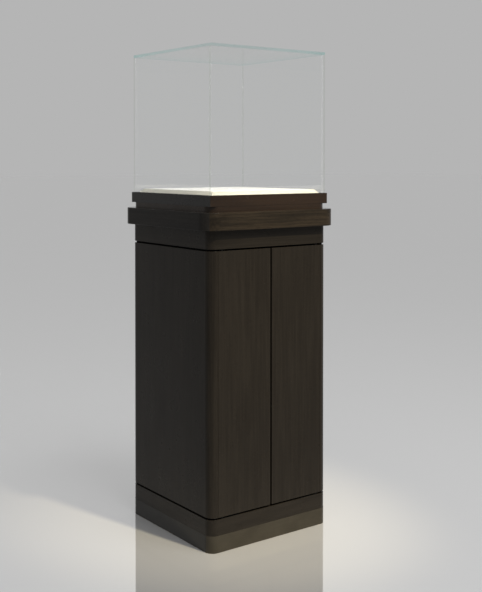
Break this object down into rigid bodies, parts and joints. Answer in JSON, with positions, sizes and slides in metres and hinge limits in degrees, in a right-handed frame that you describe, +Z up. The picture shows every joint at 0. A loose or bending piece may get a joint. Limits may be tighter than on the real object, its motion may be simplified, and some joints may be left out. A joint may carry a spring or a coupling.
{
  "type": "display plinth",
  "caption": "Tall square veneered display plinth with rounded corners, a collar band, a raised ivory deck under a lift-off glass hood, and a push-latch cupboard behind pivot-hung doors.",
  "frame": {"origin": "centre of the footprint, on the floor", "axes": "+Z up; the doors face -Y; +X is to the right of someone facing the doors"},
  "size_m": [0.442, 0.442, 1.33],
  "materials": {
    "dark_veneer": "satin lacquer",
    "black_spacer": "black painted fibreboard",
    "carcass_board": "matt melamine",
    "plain_timber": "sawn",
    "bronze_steel": "bronze tinted, satin",
    "black_steel": "black zinc plated",
    "ivory_lacquer": "matt lacquer",
    "clear_glass": "polished",
    "plated_steel": "zinc plated",
    "brass": "turned",
    "black_plastic": "moulded",
    "seal_rubber": "matt"
  },
  "bodies": {
    "root": {"back_panel": "dark_veneer", "band_back": "dark_veneer", "band_front": "dark_veneer", "band_left": "dark_veneer", "band_right": "dark_veneer", "bottom_rail": "dark_veneer", "carcass_bottom": "carcass_board", "carcass_dowels": "plain_timber", "carcass_top": "carcass_board", "corner_blocks": "plain_timber", "deck_core": "carcass_board", "deck_panel": "ivory_lacquer", "foot_inserts": "brass", "hinge_frame_plates": "black_steel", "hinge_pins": "black_steel", "hinge_washers": "black_plastic", "hood_seal": "seal_rubber", "kick_frame": "plain_timber", "kick_skin": "bronze_steel", "latch_bodies": "black_plastic", "lower_spacer": "black_spacer", "neck_board": "dark_veneer", "neck_screws": "plated_steel", "post_back_left": "dark_veneer", "post_back_right": "dark_veneer", "post_front_left": "dark_veneer", "post_front_right": "dark_veneer", "shelf": "carcass_board", "shelf_pins": "plated_steel", "side_panel_left": "dark_veneer", "side_panel_right": "dark_veneer", "top_board": "carcass_board", "top_frame_back": "dark_veneer", "top_frame_front": "dark_veneer", "top_frame_left": "dark_veneer", "top_frame_right": "dark_veneer", "top_rail": "dark_veneer", "upper_spacer": "black_spacer"},
    "door_left": {"door_left": "dark_veneer", "door_hinge_plates_left": "black_steel", "strike_left": "plated_steel"},
    "door_right": {"door_right": "dark_veneer", "door_hinge_plates_right": "black_steel", "strike_right": "plated_steel"},
    "hood": {"glass_front": "clear_glass", "glass_back": "clear_glass", "glass_left": "clear_glass", "glass_right": "clear_glass", "glass_top": "clear_glass"},
    "latch_plunger_left": {"latch_plunger_left": "black_plastic"},
    "latch_plunger_right": {"latch_plunger_right": "black_plastic"},
    "foot_front_left": {"foot_pad_front_left": "black_plastic", "foot_stud_front_left": "plated_steel"},
    "foot_front_right": {"foot_pad_front_right": "black_plastic", "foot_stud_front_right": "plated_steel"},
    "foot_back_left": {"foot_pad_back_left": "black_plastic", "foot_stud_back_left": "plated_steel"},
    "foot_back_right": {"foot_pad_back_right": "black_plastic", "foot_stud_back_right": "plated_steel"}
  },
  "joints": [
    {"name": "door_left_swing", "type": "hinge", "parent": "root", "child": "door_left", "pos_m": [-0.161, -0.195, 0.44], "axis": [0, 0, -1], "range_deg": [0, 110]},
    {"name": "door_right_swing", "type": "hinge", "parent": "root", "child": "door_right", "pos_m": [0.161, -0.195, 0.44], "axis": [0, 0, 1], "range_deg": [0, 110]},
    {"name": "hood_lift", "type": "slide", "parent": "root", "child": "hood", "axis": [0, 0, 1], "range_m": [0, 0.42]},
    {"name": "latch_left_press", "type": "slide", "parent": "root", "child": "latch_plunger_left", "axis": [0, 1, 0], "range_m": [0, 0.0025], "stiffness_N_per_m": 800},
    {"name": "latch_right_press", "type": "slide", "parent": "root", "child": "latch_plunger_right", "axis": [0, 1, 0], "range_m": [0, 0.0025], "stiffness_N_per_m": 800},
    {"name": "foot_front_left_screw", "type": "slide", "parent": "root", "child": "foot_front_left", "axis": [0, 0, -1], "range_m": [0, 0.012]},
    {"name": "foot_front_right_screw", "type": "slide", "parent": "root", "child": "foot_front_right", "axis": [0, 0, -1], "range_m": [0, 0.012]},
    {"name": "foot_back_left_screw", "type": "slide", "parent": "root", "child": "foot_back_left", "axis": [0, 0, -1], "range_m": [0, 0.012]},
    {"name": "foot_back_right_screw", "type": "slide", "parent": "root", "child": "foot_back_right", "axis": [0, 0, -1], "range_m": [0, 0.012]}
  ]
}
